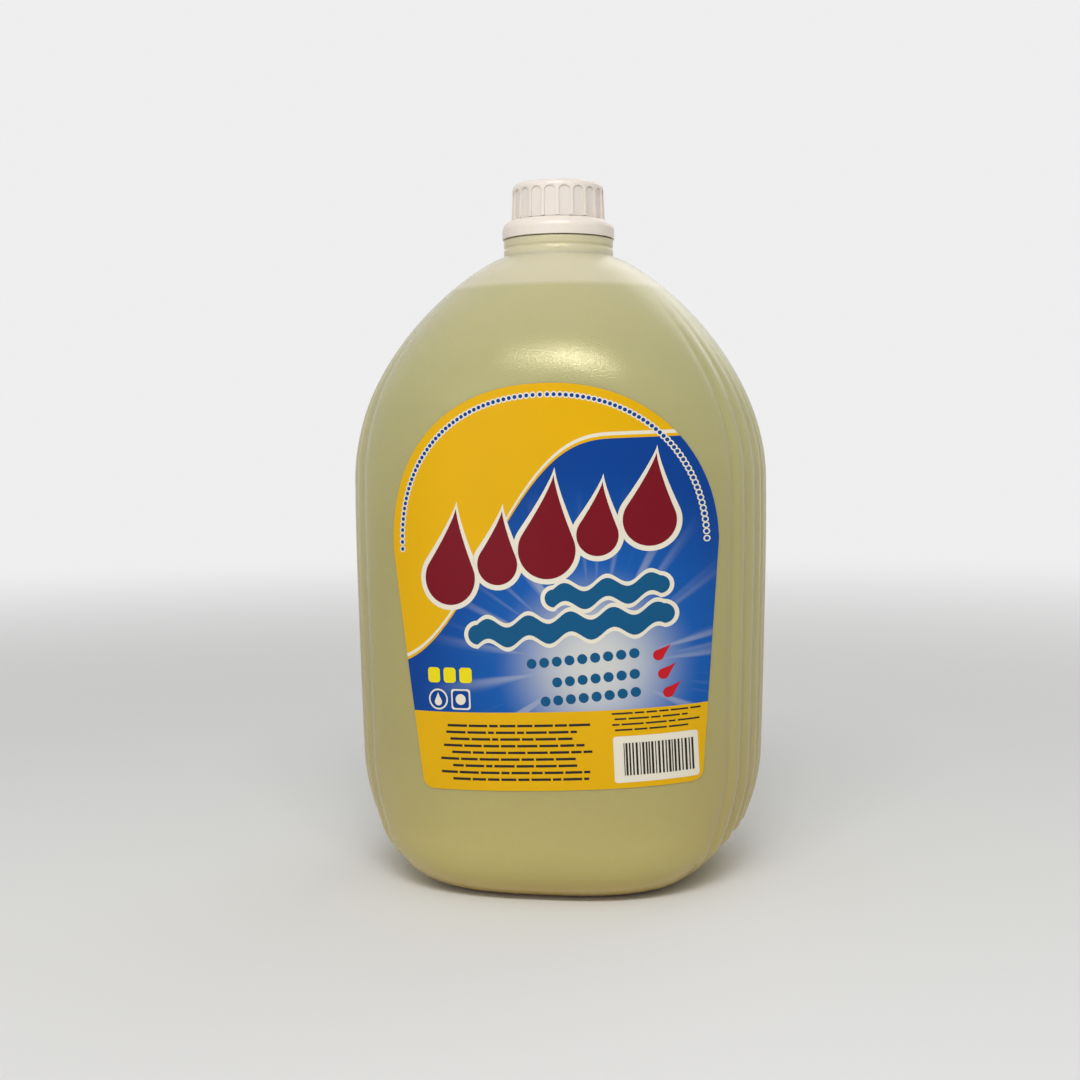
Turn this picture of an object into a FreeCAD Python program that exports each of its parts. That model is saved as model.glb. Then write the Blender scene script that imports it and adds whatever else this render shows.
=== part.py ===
"""Bleach bottle: a fluted, blow-moulded bottle with its label, its contents and a two-piece screw closure.

The origin is the centre of the foot, +Z is up, the label faces -Y, and lengths are in millimetres.
"""

import FreeCAD, Part
import math
import os

import Sketcher

Vector = FreeCAD.Vector

# Driving dimensions: alias, value, meaning
SIZES = [
    ("body_width", 182.0, "widest point, side to side"),
    ("body_depth", 144.0, "thickest point, front to back"),
    ("squareness", 2.3, "exponent of the oval section, 2 is an ellipse"),
    ("rim_height", 299.6, "height of the sealing rim"),
    ("side_shoulder", 97.5, "height of the part in which the two sides lean in to the neck"),
    ("front_shoulder", 64.5, "height of the part in which front and back lean in to the neck"),
    ("shoulder_bulge", 1.9, "how long the shoulder stays full"),
    ("shoulder_fall", 1.25, "how straight the shoulder runs to the neck"),
    ("foot_width", 94.0, "flat foot, side to side"),
    ("foot_depth", 94.0, "flat foot, front to back"),
    ("side_corner", 58.0, "height of the rounded lower corner of each side"),
    ("front_corner", 24.0, "height of the rounded lower corner of front and back"),
    ("side_taper", 3.8, "how much each side draws in from its widest point to the corner"),
    ("front_taper", 1.2, "how much the front draws in from its thickest point to the corner"),
    ("wall", 1.2, "wall of the bottle"),
    ("flute_pitch", 9.0, "width of one rib of the fluted side"),
    ("flute_depth", 1.6, "depth of the groove between two ribs"),
    ("flute_drop", 11.5, "distance from the top of the shoulder down to the end of the grooves"),
    ("flute_runout", 30.0, "length over which the grooves fade"),
    ("push_up_radius", 36.0, "radius of the recess in the foot"),
    ("push_up_height", 4.0, "height of the recess in the foot"),
    ("collar_diameter", 48.8, "collar between shoulder and closure"),
    ("collar_height", 3.0, "height of the collar"),
    ("notch_depth", 0.6, "depth of the notch above the collar"),
    ("notch_height", 1.6, "height of the notch"),
    ("bead_height", 3.2, "height of the bead under the closure"),
    ("seat_radius", 21.6, "neck inside the tamper band"),
    ("seat_rise", 7.1, "distance from the bead up to the step that the tamper band sits on"),
    ("finish_radius", 17.5, "neck inside the cap"),
    ("bore_radius", 15.2, "bore of the neck"),
    ("finish_height", 15.2, "distance from that step up to the sealing rim"),
    ("band_diameter", 49.9, "outside of the tamper band"),
    ("band_flare", 4.6, "height of the rounded shoulder of the tamper band"),
    ("band_wall", 1.4, "wall of the tamper band"),
    ("band_lip", 2.1, "height of the lip that holds the tamper band"),
    ("cap_top_diameter", 40.2, "ribbed shell of the cap at its top"),
    ("cap_foot_diameter", 41.6, "ribbed shell of the cap at its lower edge"),
    ("cap_wall", 1.4, "wall of the cap under its ribs"),
    ("cap_top_wall", 1.6, "thickness of the top of the cap"),
    ("cap_round", 2.4, "rounded upper edge of the cap"),
    ("rib_count", 20.0, "ribs of the cap"),
    ("rib_width", 1.2, "width of one rib of the cap"),
    ("rib_depth", 0.55, "height of one rib over the flutes of the cap"),
    ("flute_end", 2.9, "distance from the top of the cap to the flutes"),
    ("liner_thickness", 1.0, "thickness of the sealing liner"),
    ("turn_gap", 0.3, "running clearance between the cap and what it turns over"),
    ("fit_gap", 0.3, "clearance between pieces that sit inside each other"),
    ("headspace", 15.0, "distance from the top of the shoulder down to the level of the contents"),
    ("label_film", 0.2, "thickness of the label"),
    ("label_glue", 0.1, "glue between the label and the bottle"),
    ("label_offset", 7.5, "how far the label sits to the right of the middle"),
    ("label_width", 134.0, "label at its widest"),
    ("label_foot_width", 114.0, "label at its lower edge"),
    ("label_foot", 47.5, "height of the lower edge of the label"),
    ("label_height", 163.5, "label from its lower edge to the top of its arch"),
    ("label_waist", 98.0, "label from its lower edge to its widest point"),
    ("label_arch", 2.2, "exponent of the label's arch, 2 is an ellipse"),
    ("label_corner", 4.5, "radius of the lower corners of the label"),
]

# Ribs on each fluted side: an odd number, so that the middle rib carries the parting line of the mould
SIDE_RIBS = 9

# Where the points of a panel's curve lie, from its outer groove at 0 to the middle of the panel at 1
PANEL_STEPS = (0.0, 0.12, 0.3, 0.52, 0.76, 1.0)

# Heights on the neck from the rim down, as expressions on the sheet
SEAT = "<rim_height> - <finish_height>"
BEAD_TOP = SEAT + " - <seat_rise>"
NOTCH_TOP = BEAD_TOP + " - <bead_height>"
COLLAR_TOP = NOTCH_TOP + " - <notch_height>"
SHOULDER_TOP = COLLAR_TOP + " - <collar_height>"

doc = FreeCAD.newDocument("bleach_bottle")
sheet = doc.addObject("Spreadsheet::Sheet", "sizes")


def fill_sheet():
    """Write each driving dimension and its meaning to a row of the sheet."""
    for row, (alias, value, meaning) in enumerate(SIZES, start=1):
        sheet.set("A%d" % row, meaning)
        sheet.set("B%d" % row, str(value))
        sheet.setAlias("B%d" % row, alias)
    doc.recompute()


fill_sheet()


def size(alias):
    """Return a driving dimension from the sheet."""
    return float(getattr(sheet, alias))


def value_of(text):
    """Return the number that an expression on the sheet stands for."""
    for alias, _, _ in SIZES:
        text = text.replace("<%s>" % alias, repr(size(alias)))
    total = 0.0
    for term in text.replace("- ", "+ -").split("+"):
        total += product_of(term)
    return total


def product_of(term):
    """Return the value of a term such as 48.8 / 2."""
    if "/" in term:
        upper, lower = term.split("/")
        return float(upper.replace(" ", "")) / float(lower)
    return float(term.replace(" ", ""))


def bound(text):
    """Return an expression on the sheet's aliases, written with their bare names."""
    for alias, _, _ in sorted(SIZES, key=lambda entry: -len(entry[0])):
        text = text.replace("<%s>" % alias, "<<sizes>>.%s" % alias)
    return text


# The moulded body: half sizes of its oval section at a height


def shoulder_start(alias):
    """Return the height at which the sides, or front and back, start to lean in."""
    return value_of(SHOULDER_TOP) - size(alias)


def corner_share(height, corner):
    """Return how far a rounded lower corner has opened at a height, from 0 at the foot to 1."""
    rest = max(0.0, 1.0 - height / corner)
    return math.sqrt(max(0.0, 1.0 - rest ** 2))


def half_size(height, full, foot, taper, corner, shoulder, inset):
    """Return half the width or depth of the body at a height, inset from its outside."""
    neck = size("collar_diameter") / 2 - inset
    widest = full / 2 - inset
    lower = widest - taper
    if height < corner:
        opened = corner_share(height - inset, corner - inset)
        return foot / 2 + (lower - foot / 2) * opened
    start = shoulder_start(shoulder)
    if height < start:
        climb = (height - corner) / (start - corner)
        return lower + taper * math.sin(climb * math.pi / 2)
    climb = min(1.0, (height - start) / size(shoulder))
    left = (1.0 - climb ** size("shoulder_bulge")) ** (1.0 / size("shoulder_fall"))
    return neck + (widest - neck) * left


def half_width(height, inset):
    """Return half the width of the body at a height."""
    return half_size(height, size("body_width"), size("foot_width"), size("side_taper"),
                     size("side_corner"), "side_shoulder", inset)


def half_depth(height, inset):
    """Return half the depth of the body at a height."""
    return half_size(height, size("body_depth"), size("foot_depth"), size("front_taper"),
                     size("front_corner"), "front_shoulder", inset)


def exponent(height):
    """Return the exponent of the oval, which turns into a circle up the shoulder."""
    climb = (height - shoulder_start("front_shoulder")) / size("front_shoulder")
    return size("squareness") - (size("squareness") - 2.0) * min(1.0, max(0.0, climb))


def groove_depth(height):
    """Return the depth of the side grooves at a height; they run out at the foot and up the shoulder."""
    from_top = (value_of(SHOULDER_TOP) - size("flute_drop") - height) / size("flute_runout")
    from_foot = height / (size("front_corner") / 2)
    return size("flute_depth") * min(1.0, max(0.0, from_top), max(0.0, from_foot))


def oval_point(height, inset, share, side):
    """Return the point of the oval section at a share of its half depth, on one side, and its outward normal."""
    wide = half_width(height, inset)
    deep = half_depth(height, inset)
    power = exponent(height)
    across = wide * (1.0 - abs(share) ** power) ** (1.0 / power)
    point = Vector(side * across, deep * share, height)
    slope_x = (across / wide) ** (power - 1.0) / wide
    slope_y = math.copysign(abs(share) ** (power - 1.0) / deep, share)
    normal = Vector(side * slope_x, slope_y, 0.0).normalize()
    return point, normal


def groove_point(height, inset, share, side):
    """Return the bottom of the groove at a share of the half depth."""
    point, normal = oval_point(height, inset, share, side)
    return point - normal * groove_depth(height)


def groove_shares():
    """Return the places of the grooves as shares of the half depth, from front to back."""
    pitch = size("flute_pitch") / (size("body_depth") / 2)
    return [(step - SIDE_RIBS / 2) * pitch for step in range(SIDE_RIBS + 1)]


def panel_edge(height, inset, facing):
    """Return the curve of the front or back panel, from the left outer groove to the right one."""
    first = abs(groove_shares()[0])
    power = exponent(height)
    start = math.asin(first ** (power / 2))
    points = [groove_point(height, inset, facing * first, -1)]
    for step in PANEL_STEPS[1:-1]:
        angle = start + (math.pi / 2 - start) * step
        share = math.sin(angle) ** (2 / power)
        points.append(oval_point(height, inset, facing * share, -1)[0])
    points.append(Vector(0.0, facing * half_depth(height, inset), height))
    right = [Vector(-point.x, point.y, point.z) for point in reversed(points[:-1])]
    places = list(PANEL_STEPS) + [2.0 - step for step in reversed(PANEL_STEPS[:-1])]
    curve = Part.BSplineCurve()
    curve.interpolate(Points=points + right, Parameters=places)
    return curve.toShape()


def fluted_section(height, inset):
    """Return the closed outline of the body at a height: two panels and two rows of ribs."""
    shares = groove_shares()
    edges = [panel_edge(height, inset, -1)]
    for side in (1, -1):
        order = shares if side == 1 else list(reversed(shares))
        for start, end in zip(order, order[1:]):
            crest = oval_point(height, inset, (start + end) / 2, side)[0]
            arc = Part.Arc(groove_point(height, inset, start, side), crest,
                           groove_point(height, inset, end, side))
            edges.append(arc.toShape())
        if side == 1:
            edges.append(panel_edge(height, inset, 1))
    return Part.Wire(Part.sortEdges(edges)[0])


def plain_section(height, inset, side_inset):
    """Return a smooth closed oval at a height, drawn in a little more at the fluted sides."""
    wide = half_width(height, inset) - side_inset
    deep = half_depth(height, inset)
    power = exponent(height)
    count = 20
    points = []
    for step in range(count):
        angle = 2 * math.pi * step / count
        cosine = math.cos(angle)
        sine = math.sin(angle)
        across = math.copysign(abs(cosine) ** (2 / power), cosine) * wide
        forward = math.copysign(abs(sine) ** (2 / power), sine) * deep
        points.append(Vector(across, forward, height))
    curve = Part.BSplineCurve()
    curve.interpolate(Points=points, PeriodicFlag=True, Parameters=[float(step) for step in range(count + 1)])
    return Part.Wire(curve.toShape())


def cavity_draw(height):
    """Return how much further in the cavity lies at the fluted sides, which is the depth of the grooves."""
    return groove_depth(height)


def section_heights(bottom, top):
    """Return the heights of the sections, closer together where the corner and the shoulder turn."""
    corner = size("side_corner")
    heights = [bottom + (corner - bottom) * (1 - math.cos(math.radians(turn))) for turn in
               (0, 12, 24, 37, 51, 68, 90)]
    shoulder = shoulder_start("side_shoulder")
    heights += [corner + (shoulder - corner) * step / 2 for step in (1, 2)]
    heights += [shoulder + size("side_shoulder") * share for share in (0.2, 0.38, 0.55, 0.71, 0.86, 1.0)]
    kept = [height for height in heights if height < top - 1.0]
    return kept + [top]


def loft(name, sections):
    """Return a solid loft through closed sections, each kept as an object of the document."""
    links = []
    for number, wire in enumerate(sections, start=1):
        section = doc.addObject("Part::Feature", "%s_section_%02d" % (name, number))
        section.Shape = wire
        links.append(section)
    solid = doc.addObject("Part::Loft", name)
    solid.Sections = links
    solid.Solid = True
    solid.Ruled = False
    return solid


def moulded_body():
    """Build the body's outside and its cavity, and return both."""
    wall = size("wall")
    outside = loft("body_outside", [fluted_section(height, 0.0) for height in
                                    section_heights(0.0, value_of(SHOULDER_TOP))])
    cavity = loft("body_cavity", [plain_section(height, wall, cavity_draw(height)) for height in
                                  section_heights(wall, value_of(SHOULDER_TOP))])
    return outside, cavity


# Sketched pieces


def plane(body, role):
    """Return an origin plane or axis of a body by its role."""
    return next(item for item in body.Origin.OriginFeatures if item.Role == role)


def new_body(name):
    """Return an empty body with a name that is also its label."""
    body = doc.addObject("PartDesign::Body", name)
    body.Label = name
    return body


def bind_vertex(sketch, edge, end, across, height):
    """Tie one end of an edge to two expressions on the sheet: its radius and its height."""
    if across == "0":
        sketch.addConstraint(Sketcher.Constraint("PointOnObject", edge, end, -2))
    else:
        index = sketch.addConstraint(Sketcher.Constraint("DistanceX", -1, 1, edge, end, value_of(across)))
        sketch.setExpression("Constraints[%d]" % index, bound(across))
    index = sketch.addConstraint(Sketcher.Constraint("DistanceY", -1, 1, edge, end, value_of(height)))
    sketch.setExpression("Constraints[%d]" % index, bound(height))


def turned_profile(body, name, corners):
    """Sketch a closed profile on the XZ plane, with each corner tied to the sheet, and turn it about Z."""
    sketch = body.newObject("Sketcher::SketchObject", name + "_profile")
    sketch.AttachmentSupport = [(plane(body, "XZ_Plane"), "")]
    sketch.MapMode = "FlatFace"
    spots = [Vector(value_of(across), value_of(height), 0.0) for across, height in corners]
    for start, end in zip(spots, spots[1:] + spots[:1]):
        sketch.addGeometry(Part.LineSegment(start, end), False)
    last = len(spots) - 1
    for edge in range(last + 1):
        following = 0 if edge == last else edge + 1
        sketch.addConstraint(Sketcher.Constraint("Coincident", edge, 2, following, 1))
    for edge, (across, height) in enumerate(corners):
        bind_vertex(sketch, edge, 1, across, height)
    turned = body.newObject("PartDesign::Revolution", name + "_turned")
    turned.Profile = sketch
    turned.ReferenceAxis = (sketch, ["V_Axis"])
    turned.Angle = 360.0
    body.Tip = turned
    doc.recompute()
    return turned


def ring_edges(feature, radius, height):
    """Return the names of a feature's circular edges with a given radius and height."""
    names = []
    for number, edge in enumerate(feature.Shape.Edges, start=1):
        if edge.Curve.TypeId != "Part::GeomCircle":
            continue
        if abs(edge.Curve.Radius - radius) < 0.01 and abs(edge.Curve.Center.z - height) < 0.01:
            names.append("Edge%d" % number)
    return names


def round_ring(body, feature, name, radius, height, expression):
    """Round the circular edge of a feature at a radius and height by a radius from the sheet."""
    fillet = body.newObject("PartDesign::Fillet", name)
    fillet.Base = (feature, ring_edges(feature, radius, height))
    fillet.setExpression("Radius", bound(expression))
    body.Tip = fillet
    doc.recompute()
    return fillet


def neck():
    """Turn the hollow neck: collar, notch, bead, seat for the tamper band, finish and rim."""
    body = new_body("neck")
    collar = "<collar_diameter> / 2"
    turned_profile(body, "neck", [
        (collar + " - <wall>", SHOULDER_TOP),
        (collar, SHOULDER_TOP),
        (collar, COLLAR_TOP),
        (collar + " - <notch_depth>", COLLAR_TOP + " + <notch_height> / 2"),
        (collar, NOTCH_TOP),
        (collar, BEAD_TOP),
        ("<seat_radius>", BEAD_TOP),
        ("<seat_radius>", SEAT),
        ("<finish_radius>", SEAT),
        ("<finish_radius>", "<rim_height>"),
        ("<bore_radius>", "<rim_height>"),
        ("<bore_radius>", SEAT + " - <wall>"),
        ("<seat_radius> - <wall>", SEAT + " - <wall> - <wall>"),
        ("<seat_radius> - <wall>", NOTCH_TOP),
        (collar + " - <wall> - <notch_depth>", COLLAR_TOP),
    ])
    return body


def bottle_body(outside, cavity):
    """Join the moulded shell, the neck and the arched floor into one hollow bottle."""
    shell = doc.addObject("Part::Cut", "shell")
    shell.Base = outside
    shell.Tool = cavity
    with_neck = doc.addObject("Part::Fuse", "shell_and_neck")
    with_neck.Base = shell
    with_neck.Tool = neck()
    floor_dome, recess = push_up()
    with_floor = doc.addObject("Part::Fuse", "shell_with_floor")
    with_floor.Base = with_neck
    with_floor.Tool = floor_dome
    bottle = doc.addObject("Part::Cut", "bottle_body")
    bottle.Base = with_floor
    bottle.Tool = recess
    bottle.Label = "bottle_body"
    return bottle


def dome_radius(rim_radius, rise):
    """Return the radius of the sphere whose cap has a rim radius and a rise."""
    return (rim_radius ** 2 + rise ** 2) / (2 * rise)


def spherical_cap(name, radius, rise, floor):
    """Return a solid spherical cap that rises from the floor height to a given height."""
    sphere = doc.addObject("Part::Feature", name)
    ball = Part.makeSphere(radius, Vector(0, 0, rise - radius))
    reach = 2 * radius
    slab = Part.makeBox(reach, reach, rise + 1.0 - floor, Vector(-radius, -radius, floor))
    sphere.Shape = ball.common(slab)
    return sphere


def push_up():
    """Return the dome that thickens the floor from inside, and the recess that hollows it from below."""
    rise = size("push_up_height")
    radius = dome_radius(size("push_up_radius"), rise)
    wall = size("wall")
    dome = spherical_cap("floor_dome", radius + wall, rise + wall, wall / 2)
    recess = spherical_cap("foot_recess", radius, rise, -1.0)
    return dome, recess


def contents():
    """Build the liquid: the cavity up to its level, clear of the wall, with a hollow over the floor dome."""
    inset = size("wall") + size("fit_gap")
    bulk = loft("liquid_bulk", [plain_section(height, inset, cavity_draw(height)) for height in
                                section_heights(inset, value_of(SHOULDER_TOP))])
    over_level = doc.addObject("Part::Box", "space_over_level")
    over_level.setExpression("Length", bound("<body_width>"))
    over_level.setExpression("Width", bound("<body_depth>"))
    over_level.setExpression("Height", bound("<rim_height>"))
    over_level.setExpression(".Placement.Base.x", bound("-<body_width> / 2"))
    over_level.setExpression(".Placement.Base.y", bound("-<body_depth> / 2"))
    over_level.setExpression(".Placement.Base.z", bound(SHOULDER_TOP + " - <headspace>"))
    filled = doc.addObject("Part::Cut", "liquid_to_level")
    filled.Base = bulk
    filled.Tool = over_level
    rise = size("push_up_height") + size("wall") + size("fit_gap")
    radius = dome_radius(size("push_up_radius"), size("push_up_height")) + size("wall") + size("fit_gap")
    hollow = spherical_cap("liquid_hollow", radius, rise, 0.0)
    liquid = doc.addObject("Part::Cut", "bleach_liquid")
    liquid.Base = filled
    liquid.Tool = hollow
    liquid.Label = "bleach_liquid"
    return liquid


def label_outline():
    """Return the face of the label seen from the front: an arch over two leaning sides and a straight foot."""
    middle = size("label_offset")
    foot = size("label_foot")
    waist = foot + size("label_waist")
    top = foot + size("label_height")
    wide = size("label_width") / 2
    low = size("label_foot_width") / 2
    corner = size("label_corner")
    y = -size("body_depth")
    rise = top - waist
    power = size("label_arch")
    arch = []
    for turn in range(180, -1, -15):
        angle = math.radians(turn)
        cosine = math.cos(angle)
        across = math.copysign(abs(cosine) ** (2 / power), cosine) * wide
        arch.append(Vector(middle + across, y, waist + rise * math.sin(angle) ** (2 / power)))
    curve = Part.BSplineCurve()
    curve.interpolate(arch)
    right_waist = arch[-1]
    left_waist = arch[0]
    lean = Vector(middle + low, y, foot + corner)
    tuck = Vector(middle + low - corner, y, foot)
    round_by = corner * (1 - math.sqrt(0.5))
    bend = Vector(middle + low - round_by, y, foot + round_by)

    def mirrored(point):
        return Vector(2 * middle - point.x, point.y, point.z)

    edges = [
        curve.toShape(),
        Part.LineSegment(right_waist, lean).toShape(),
        Part.Arc(lean, bend, tuck).toShape(),
        Part.LineSegment(tuck, mirrored(tuck)).toShape(),
        Part.Arc(mirrored(tuck), mirrored(bend), mirrored(lean)).toShape(),
        Part.LineSegment(mirrored(lean), left_waist).toShape(),
    ]
    return Part.Face(Part.Wire(edges))


def front_label(outside):
    """Cut the label out of a film that lies on the body's front panel."""
    doc.recompute()
    panel = min(outside.Shape.Faces, key=lambda face: face.CenterOfMass.y)
    film = doc.addObject("Part::Feature", "panel_film")
    glued = panel.makeOffsetShape(size("label_glue"), 0.01)
    film.Shape = glued.makeOffsetShape(size("label_film"), 0.01, fill=True)
    cutter = doc.addObject("Part::Feature", "label_cutter")
    cutter.Shape = label_outline().extrude(Vector(0, size("body_depth"), 0))
    label = doc.addObject("Part::Common", "front_label")
    label.Base = film
    label.Tool = cutter
    label.Label = "front_label"
    return label


def tamper_band():
    """Turn the tamper band: a rounded shoulder, a skirt, and the web and lip that hold it on the neck."""
    body = new_body("tamper_band")
    outer = "<band_diameter> / 2"
    top = SEAT + " + <band_wall>"
    foot = BEAD_TOP + " + <fit_gap>"
    lip_foot = SEAT + " - <band_lip>"
    turned = turned_profile(body, "band", [
        ("<finish_radius> + <fit_gap>", top),
        ("<finish_radius> + <fit_gap>", SEAT),
        ("<seat_radius> + <fit_gap>", SEAT),
        ("<seat_radius> + <fit_gap>", lip_foot),
        (outer + " - <band_wall>", lip_foot + " - <band_wall>"),
        (outer + " - <band_wall>", foot),
        (outer, foot),
        (outer, top),
    ])
    radius = value_of(outer)
    height = value_of(top)
    round_ring(body, turned, "band_shoulder", radius, height, "<band_flare>")
    return body


def screw_cap():
    """Turn the cap as a hollow shell, round its upper edge and cut the flutes between its ribs."""
    body = new_body("screw_cap")
    foot = SEAT + " + <band_wall> + <turn_gap>"
    inner_top = "<rim_height> + <liner_thickness>"
    top = inner_top + " + <cap_top_wall>"
    bore = "<cap_top_diameter> / 2 - <cap_wall>"
    turned = turned_profile(body, "cap", [
        ("0", top),
        ("0", inner_top),
        (bore, inner_top),
        (bore, foot),
        ("<cap_foot_diameter> / 2", foot),
        ("<cap_top_diameter> / 2", top),
    ])
    round_ring(body, turned, "cap_edge", value_of("<cap_top_diameter> / 2"), value_of(top), "<cap_round>")
    cut_flutes(body, value_of(foot), value_of(top))
    return body


def cut_flutes(body, foot, top):
    """Cut one flat flute with a round upper end and repeat it round the cap."""
    spread = math.radians(180.0 / size("rib_count"))
    pitch_half = size("cap_foot_diameter") / 2 * math.sin(spread)
    half = pitch_half - size("rib_width") / 2
    end = top - size("flute_end") - half
    sketch = body.newObject("Sketcher::SketchObject", "flute_profile")
    sketch.AttachmentSupport = [(plane(body, "XZ_Plane"), "")]
    sketch.MapMode = "FlatFace"
    sketch.setExpression(".AttachmentOffset.Base.z", bound("<cap_top_diameter> / 2 - <rib_depth>"))
    low = foot - 1.0
    sketch.addGeometry(Part.LineSegment(Vector(-half, low, 0), Vector(half, low, 0)), False)
    sketch.addGeometry(Part.LineSegment(Vector(half, low, 0), Vector(half, end, 0)), False)
    sketch.addGeometry(Part.ArcOfCircle(Part.Circle(Vector(0, end, 0), Vector(0, 0, 1), half), 0, math.pi), False)
    sketch.addGeometry(Part.LineSegment(Vector(-half, end, 0), Vector(-half, low, 0)), False)
    pocket = body.newObject("PartDesign::Pocket", "flute")
    pocket.Profile = sketch
    pocket.Type = "ThroughAll"
    pocket.Reversed = True
    body.Tip = pocket
    doc.recompute()
    row = body.newObject("PartDesign::PolarPattern", "flute_row")
    row.Originals = [pocket]
    row.Axis = (plane(body, "Z_Axis"), [""])
    row.Angle = 360.0
    row.setExpression("Occurrences", bound("<rib_count>"))
    body.Tip = row
    doc.recompute()


def seal_liner():
    """Make the liner: a disc that fills the top of the cap and lies on the rim."""
    disc = doc.addObject("Part::Cylinder", "seal_liner")
    disc.Label = "seal_liner"
    disc.setExpression("Radius", bound("<cap_top_diameter> / 2 - <cap_wall> - <fit_gap>"))
    disc.setExpression("Height", bound("<liner_thickness>"))
    disc.setExpression(".Placement.Base.z", bound("<rim_height>"))
    return disc


def check(parts):
    """Stop if an object of the document failed or a sub-part has no valid shape."""
    for item in doc.Objects:
        if "Invalid" in item.State or "Error" in item.State:
            raise RuntimeError("%s did not build: %s" % (item.Name, item.State))
    for part in parts:
        if part.Shape.isNull() or not part.Shape.isValid():
            raise RuntimeError("%s has no valid shape" % part.Label)


def main():
    """Build every sub-part, check the document and write one file for each sub-part."""
    outside, cavity = moulded_body()
    parts = [bottle_body(outside, cavity), front_label(outside), contents(), tamper_band(), screw_cap(), seal_liner()]
    doc.recompute()
    check(parts)
    os.makedirs("parts", exist_ok=True)
    for part in parts:
        part.Shape.exportStep(os.path.join("parts", part.Label + ".step"))
        print("%s: %d solids, %.1f cm3" % (part.Label, len(part.Shape.Solids), part.Shape.Volume / 1000))


main()
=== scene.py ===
"""Looks of the bleach bottle: moulded bottle, printed label, contents and two-piece screw closure.

The frame is that of the solids, in metres: +Z up, the label towards -Y. Sizes of the pieces are named in
millimetres and turned into metres where a mesh is made.
"""

import logging
import math
from dataclasses import dataclass, field
from enum import Enum

import bmesh
import bpy
from mathutils import Matrix, Vector


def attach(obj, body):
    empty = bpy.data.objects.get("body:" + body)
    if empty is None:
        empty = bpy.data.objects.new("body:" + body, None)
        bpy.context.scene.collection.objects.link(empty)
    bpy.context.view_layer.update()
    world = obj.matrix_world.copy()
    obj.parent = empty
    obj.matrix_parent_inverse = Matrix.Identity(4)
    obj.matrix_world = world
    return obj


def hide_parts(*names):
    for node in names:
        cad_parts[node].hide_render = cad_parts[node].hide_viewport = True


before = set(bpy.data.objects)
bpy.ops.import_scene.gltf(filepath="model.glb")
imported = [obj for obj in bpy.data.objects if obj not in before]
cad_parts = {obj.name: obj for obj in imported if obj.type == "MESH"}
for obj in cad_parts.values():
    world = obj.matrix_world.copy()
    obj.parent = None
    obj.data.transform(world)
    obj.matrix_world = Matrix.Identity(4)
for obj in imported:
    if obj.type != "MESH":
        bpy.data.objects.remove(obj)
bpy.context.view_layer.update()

LOG = logging.getLogger("bottle")
MM = 0.001

Colour = tuple[float, float, float, float]
Point = tuple[float, float]
Outline = list[Point]
Stop = tuple[float, Colour]


def srgb(red: int, green: int, blue: int) -> Colour:
    """Return a display colour as a linear one.

    Args:
        red: Red from 0 to 255.
        green: Green from 0 to 255.
        blue: Blue from 0 to 255.

    Returns:
        The linear colour with full alpha.
    """
    shares = [channel / 255 for channel in (red, green, blue)]
    linear = [share / 12.92 if share <= 0.04045 else ((share + 0.055) / 1.055) ** 2.4 for share in shares]
    return linear[0], linear[1], linear[2], 1.0


def ease(value: float, low: float, high: float) -> float:
    """Return 0 below low, 1 above high and a smooth rise in between."""
    share = min(1.0, max(0.0, (value - low) / (high - low)))
    return share * share * (3 - 2 * share)


class Slot(Enum):
    """The record's material slots."""

    BOTTLE = "bottle"
    LABEL = "label"
    LIQUID = "liquid"
    CLOSURE = "closure"
    LINER = "liner"


class Ink(Enum):
    """Printing inks of the label, as display colours."""

    YELLOW = (222, 170, 4)
    BLUE = (0, 60, 138)
    PALE_BLUE = (22, 98, 178)
    DEEP_BLUE = (10, 82, 124)
    RED = (116, 10, 26)
    BRIGHT_RED = (190, 24, 34)
    CREAM = (226, 219, 200)
    WHITE = (206, 206, 200)
    BLACK = (40, 38, 36)
    LEMON = (232, 214, 20)

    def colour(self) -> Colour:
        """Return the ink as a linear colour."""
        return srgb(*self.value)


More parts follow.
